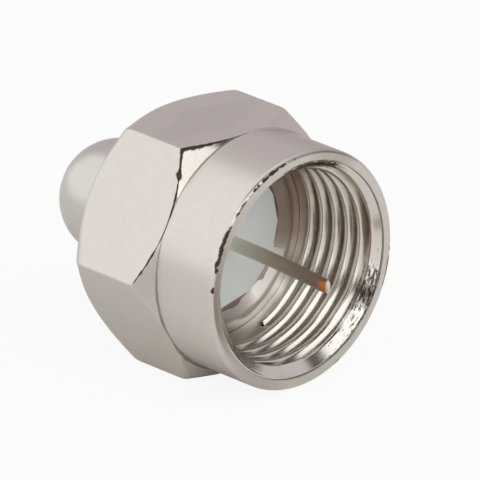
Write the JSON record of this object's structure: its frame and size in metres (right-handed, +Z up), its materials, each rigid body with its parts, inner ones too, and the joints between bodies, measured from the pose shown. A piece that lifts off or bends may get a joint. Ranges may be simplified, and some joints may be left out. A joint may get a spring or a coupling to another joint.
{
  "type": "f-type coaxial terminator",
  "caption": "Male F-type coaxial terminator: a hexagonal coupling nut with an inside thread turns on a closed, ball-ended shell with a centre pin.",
  "frame": {"origin": "centre of the nut's mouth, on the connector's axis", "axes": "+Y along the axis from the mouth into the nut and on to the ball end, +Z up, square to the flat that the nut lies on"},
  "size_m": [0.0128, 0.0159, 0.011],
  "materials": {
    "nut_plating": "satin nickel plate on brass",
    "shell_plating": "satin nickel plate on brass",
    "insulator_plastic": "matt white",
    "tinned_wire": "dull tin on copper",
    "resistor_lacquer": "glossy lacquer",
    "solder": "bright solder",
    "spring_wire": "plain spring metal"
  },
  "bodies": {
    "nut": {"coupling_nut": "nut_plating"},
    "terminator_core": {"shell": "shell_plating", "insulator": "insulator_plastic", "centre_pin": "tinned_wire", "resistor": "resistor_lacquer", "rear_lead": "tinned_wire", "solder_joint": "solder", "retaining_ring": "spring_wire"}
  },
  "joints": [
    {"name": "nut_spin", "type": "hinge", "parent": "nut", "child": "terminator_core", "pos_m": [0, 0.0066, 0], "axis": [0, 1, 0], "continuous": true}
  ]
}
